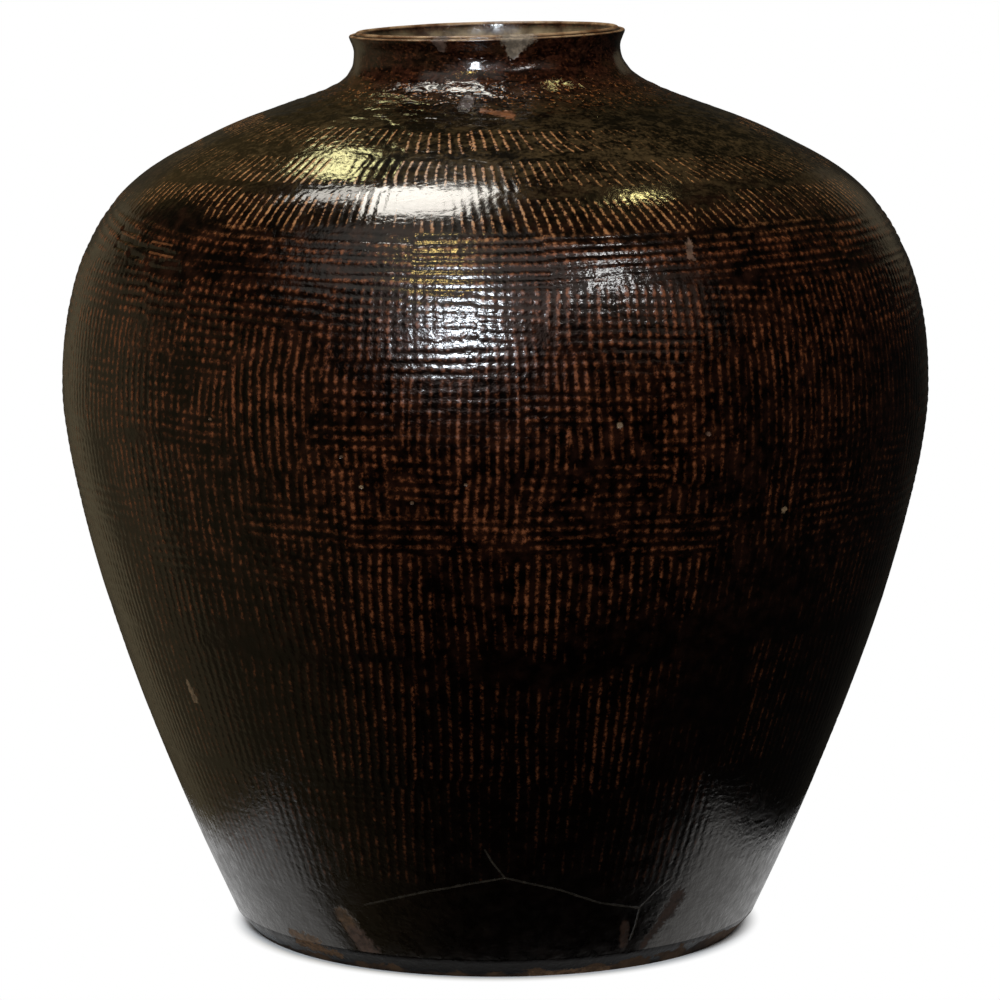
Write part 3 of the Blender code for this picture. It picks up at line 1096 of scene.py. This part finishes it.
def glazed(name):
    """A Principled glaze over stoneware, with the marks of this slot."""
    material = bpy.data.materials.new(name)
    material.use_nodes = True
    tree = Tree(material.node_tree)
    shader = material.node_tree.nodes["Principled BSDF"]
    shader.inputs["IOR"].default_value = 1.45
    if name == "foot_glaze":
        shader.inputs["Specular IOR Level"].default_value = 0.46
        shader.inputs["Specular Tint"].default_value = (1.0, 0.94, 0.86, 1.0)
    if name == "bare_clay":
        shader.inputs["Specular IOR Level"].default_value = 0.08
    film = tree.add("Group", node_tree=fired_glaze)
    for socket, attribute in (("Thin", "thin"), ("Inside", "inside"), ("Wear", "wear")):
        tree.put(film.inputs[socket], tree.add("Attribute", attribute_name=attribute).outputs["Fac"])
    colour, rough, height = (film.outputs[label] for label in ("Color", "Roughness", "Height"))
    where = tree.add("TexCoord").outputs["Object"]
    mottle = tree.scaled(tree.noise(where, 240.0, 3.0, 0.6), 0.38, 0.62)
    for mark in MARKS.get(name, ()):
        mask = lay_mark(tree, mark)
        darker = (*(part * stain_share for part in mark.colour[:3]), 1.0)
        stained = tree.mix(mottle, darker, mark.colour)
        colour = tree.mix(mask, colour, stained)
        rough = tree.blend(mask, rough, mark.roughness)
        height = tree.math("SUBTRACT", height, tree.math("MULTIPLY", mask, mark.depth))
    tree.put(shader.inputs["Base Color"], colour)
    tree.put(shader.inputs["Roughness"], rough)
    bump = tree.add("Bump", {"Height": height, "Strength": 1.0, "Distance": 1.0})
    tree.put(shader.inputs["Normal"], bump.outputs["Normal"])
    return material


fired_glaze = fired_glaze_group()
surface_mark = surface_mark_group()
MATERIALS = {slot: glazed(slot) for slot in sorted(set(SLOTS.values()))}


def build_jar():
    """All twelve members, from the slab up to the lip."""
    starts = [(name, outline.seam(stretch, share)) for name, stretch, share in MEMBERS]
    skin("base_slab", slab_section(), closed=False, steps=plain_steps, columns=slab_columns)
    skin("corner_coil", corner_section(), steps=plain_steps, columns=coil_columns)
    skin("foot_course", foot_section(starts[0][1]))
    for (name, low), (next_name, high) in zip(starts, starts[1:]):
        low_lap = neck_lap if name in NECK_MEMBERS else wall_lap
        high_lap = neck_lap if next_name in NECK_MEMBERS else wall_lap
        row = ROWS.get(name, fine_row)
        skin(name, course_section(low, high, low_lap, high_lap, row))
    skin("rim_roll", rim_section(starts[-1][1]))


# The studio: a small pale board, dark cloths that only reflections see, soft boxes and warm lamps
BOARD_LOW = (-0.275, -0.148)
BOARD_HIGH = (0.265, 0.340)
board_nose = 0.179
board_nose_points = 25
board_tone = (0.85, 0.85, 0.85, 1.0)
white_from = 0.164
white_at = 0.180
white = (1.0, 1.0, 1.0, 1.0)


def way(azimuth, elevation):
    """Unit direction: azimuth 0 towards the camera and + to the right."""
    turn, rise = math.radians(azimuth), math.radians(elevation)
    return Vector((math.sin(turn) * math.cos(rise), -math.cos(turn) * math.cos(rise), math.sin(rise)))


def seen_rays(tree):
    """1 for rays that show the white around the jar: those of the camera, gloss and glass."""
    path = tree.add("LightPath").outputs
    seen = tree.math("MAXIMUM", path["Is Camera Ray"], path["Is Glossy Ray"])
    return tree.math("MAXIMUM", seen, path["Is Transmission Ray"])


def make_floor():
    """The pale board under the jar: it keeps the jar's shadow and turns into plain white further out."""
    bm = bmesh.new()
    (left, front), (right, back) = BOARD_LOW, BOARD_HIGH
    nose_turn = math.acos(-front / board_nose)
    nose = [
        (board_nose * math.sin(turn), -board_nose * math.cos(turn))
        for turn in np.linspace(-nose_turn, nose_turn, board_nose_points)
    ]
    corners = [(left, front), *nose, (right, front), (right, back), (left, back)]
    bm.faces.new([bm.verts.new((x, y, 0.0)) for x, y in corners])
    mesh = bpy.data.meshes.new("floor")
    bm.to_mesh(mesh)
    bm.free()
    floor = bpy.data.objects.new("floor", mesh)
    bpy.context.scene.collection.objects.link(floor)
    material = bpy.data.materials.new("floor_paper")
    material.use_nodes = True
    tree = Tree(material.node_tree)
    nodes = material.node_tree.nodes
    shader = nodes["Principled BSDF"]
    shader.inputs["Base Color"].default_value = board_tone
    shader.inputs["Roughness"].default_value = 0.9
    shader.inputs["Specular IOR Level"].default_value = 0.1
    where = tree.add("TexCoord").outputs["Object"]
    far = tree.scaled(tree.vector("LENGTH", where), white_from, white_at)
    glow = tree.add("Emission", {"Color": white, "Strength": 1.0})
    share = tree.math("MULTIPLY", far, seen_rays(tree))
    mixed = tree.add("MixShader", {0: share, 1: shader.outputs[0], 2: glow.outputs[0]})
    tree.put(nodes["Material Output"].inputs["Surface"], mixed.outputs[0])
    mesh.materials.append(material)


# What the cloths throw back, by bearing from the back over the left, the front and the right
LOW_CLOTHS = [
    (0.0, (0.030, 0.028, 0.022)),
    (0.05, (0.060, 0.050, 0.032)),
    (0.08, (0.210, 0.172, 0.104)),
    (0.11, (0.220, 0.180, 0.108)),
    (0.13, (0.150, 0.120, 0.070)),
    (0.16, (0.150, 0.120, 0.070)),
    (0.18, (0.230, 0.184, 0.106)),
    (0.20, (0.230, 0.184, 0.106)),
    (0.22, (0.120, 0.096, 0.056)),
    (0.25, (0.120, 0.096, 0.056)),
    (0.27, (0.130, 0.103, 0.058)),
    (0.30, (0.120, 0.095, 0.053)),
    (0.33, (0.060, 0.047, 0.026)),
    (0.36, (0.054, 0.042, 0.024)),
    (0.40, (0.016, 0.012, 0.008)),
    (0.45, (0.002, 0.002, 0.002)),
    (0.62, (0.002, 0.002, 0.002)),
    (0.70, (0.010, 0.009, 0.008)),
    (0.90, (0.010, 0.009, 0.008)),
    (1.0, (0.030, 0.028, 0.022)),
]
HIGH_CLOTHS = [
    (0.0, (0.020, 0.016, 0.010)),
    (0.03, (0.050, 0.036, 0.016)),
    (0.08, (0.135, 0.094, 0.038)),
    (0.12, (0.034, 0.026, 0.014)),
    (0.30, (0.024, 0.020, 0.013)),
    (0.45, (0.004, 0.004, 0.004)),
    (0.78, (0.008, 0.008, 0.007)),
    (0.88, (0.028, 0.023, 0.013)),
    (0.95, (0.026, 0.021, 0.011)),
    (1.0, (0.020, 0.016, 0.010)),
]
CEILING = (0.028, 0.021, 0.012, 1.0)
# Paler cloths, as azimuth, elevation, how far they reach in degrees, and what they throw back
PALE_CLOTHS = [
    (-39, 58, 28, (0.90, 0.84, 0.76, 1.0)),
    (44, 37, 22, (0.40, 0.30, 0.24, 1.0)),
    (8, 47, 19, (1.05, 0.90, 0.82, 1.0)),
    (-9, 30, 26, (1.00, 0.72, 0.62, 1.0)),
    (152, 15, 14, (0.170, 0.140, 0.092, 1.0)),
]

# How far the cloths hang, and the elevations over which the high cloths and the ceiling take over
cloth_distance = 7.0
HIGH_CLOTHS_RISE = (14, 24)
CEILING_RISE = (40, 62)


def heights_of(elevations):
    """The heights, on a ball of radius 1, of two elevations in degrees."""
    return [math.sin(math.radians(elevation)) for elevation in elevations]


def make_cloths():
    """A dome of dark cloths round the set, which only reflections see."""
    bm = bmesh.new()
    bmesh.ops.create_icosphere(bm, subdivisions=5, radius=cloth_distance)
    bmesh.ops.reverse_faces(bm, faces=bm.faces)
    mesh = bpy.data.meshes.new("studio_cloths")
    bm.to_mesh(mesh)
    bm.free()
    mesh.shade_smooth()
    dome = bpy.data.objects.new("studio_cloths", mesh)
    bpy.context.scene.collection.objects.link(dome)
    dome.visible_camera = False
    dome.visible_diffuse = False
    dome.visible_transmission = False
    dome.visible_shadow = False
    dome.visible_volume_scatter = False
    material = bpy.data.materials.new("studio_cloths")
    material.use_nodes = True
    tree = Tree(material.node_tree)
    nodes = material.node_tree.nodes
    where = tree.vector("NORMALIZE", tree.add("TexCoord").outputs["Object"])
    parts = tree.add("SeparateXYZ", {"Vector": where}).outputs
    turn = tree.math("ARCTAN2", parts["X"], tree.math("MULTIPLY", parts["Y"], -1.0))
    share = tree.math("MULTIPLY_ADD", turn, 1 / math.tau, 0.5)
    colour = tree.mix(
        tree.scaled(parts["Z"], *heights_of(HIGH_CLOTHS_RISE)),
        tree.ramp(share, LOW_CLOTHS),
        tree.ramp(share, HIGH_CLOTHS),
    )
    overhead = tree.scaled(parts["Z"], *heights_of(CEILING_RISE))
    colour = tree.mix(overhead, colour, CEILING)
    for azimuth, elevation, reach, pale in PALE_CLOTHS:
        facing = tree.vector("DOT_PRODUCT", where, tuple(way(azimuth, elevation)))
        colour = tree.mix(tree.scaled(facing, math.cos(math.radians(reach)), 1.0), colour, pale)
    glow = tree.add("Emission", {"Color": colour, "Strength": 1.0})
    tree.put(nodes["Material Output"].inputs["Surface"], glow.outputs[0])
    nodes.remove(nodes["Principled BSDF"])
    mesh.materials.append(material)


def soft_box(name, place, target, wide, high, radiance, colour):
    """A soft box: its power is what gives its face this radiance."""
    light = bpy.data.lights.new(name, "AREA")
    light.shape = "RECTANGLE"
    light.size, light.size_y = wide, high
    light.energy = radiance * math.pi * wide * high
    light.color = colour
    lamp = bpy.data.objects.new(name, light)
    lamp.location = place
    lamp.rotation_euler = (Vector(target) - Vector(place)).to_track_quat("-Z", "Y").to_euler()
    lamp.visible_camera = False
    bpy.context.scene.collection.objects.link(lamp)
    return lamp


# Boxes over the jar: name, place across and back, width and length, turn in degrees, radiance
OVERHEAD_BOXES = [
    ("overhead_box", -0.39, 0.30, 0.58, 0.80, -14, 20.0),
    ("overhead_flap", -0.86, 0.76, 0.42, 0.36, -20, 9.0),
]
OVERHEAD_CREAM = (1.0, 0.955, 0.87)

# Lamps round the jar: name, the place lit, azimuth, elevation, width, height, radiance and colour
LAMPS = [
    ("front_box", (0.0, -0.27, 0.47), -10, 25.5, 0.54, 0.34, 84.0, (0.84, 0.92, 1.0)),
    ("right_box", (0.05, -0.27, 0.49), 38, 42, 0.34, 0.28, 30.0, (1.0, 1.0, 1.0)),
    ("warm_lamp_back", (-0.10, -0.17, 0.522), -159, 48, 0.13, 0.40, 12.0, (1.0, 0.93, 0.46)),
    ("warm_lamp_right", (0.09, -0.21, 0.507), 141, 62, 0.10, 0.18, 46.0, (1.0, 0.86, 0.36)),
    ("warm_lamp_front", (-0.04, -0.26, 0.468), -22, 55, 0.20, 0.30, 62.0, (1.0, 0.72, 0.24)),
]


def light_set():
    """The boxes over the jar and the lamps round it."""
    for name, side, back, wide, high, turn, radiance in OVERHEAD_BOXES:
        place, below = (side, back, overhead_height), (side, back, 0.0)
        box = soft_box(name, place, below, wide, high, radiance, OVERHEAD_CREAM)
        box.rotation_euler = (0.0, 0.0, math.radians(turn))
    for name, target, azimuth, elevation, wide, high, radiance, colour in LAMPS:
        place = Vector(target) + way(azimuth, elevation) * lamp_distance
        soft_box(name, place, target, wide, high, radiance, colour)


def light_world():
    """Faint even light on the jar, and plain white where the world itself is seen."""
    world = bpy.data.worlds.new("studio_air")
    world.use_nodes = True
    bpy.context.scene.world = world
    tree = Tree(world.node_tree)
    strength = tree.math("MULTIPLY_ADD", seen_rays(tree), 1.0 - ambient_light, ambient_light)
    background = world.node_tree.nodes["Background"]
    background.inputs["Color"].default_value = white
    tree.put(background.inputs["Strength"], strength)


def place_camera():
    """The camera at the photograph's viewing angle."""
    camera = bpy.data.cameras.new("camera")
    camera.lens = lens
    camera.sensor_width = sensor
    eye = bpy.data.objects.new("camera", camera)
    eye.location = (camera_side, -camera_distance, camera_height)
    eye.rotation_euler = (math.pi / 2 - camera_pitch, 0.0, 0.0)
    bpy.context.scene.collection.objects.link(eye)
    bpy.context.scene.camera = eye
    bpy.context.scene.view_settings.view_transform = "Standard"


place_camera()
build_jar()
make_floor()
make_cloths()
light_set()
light_world()
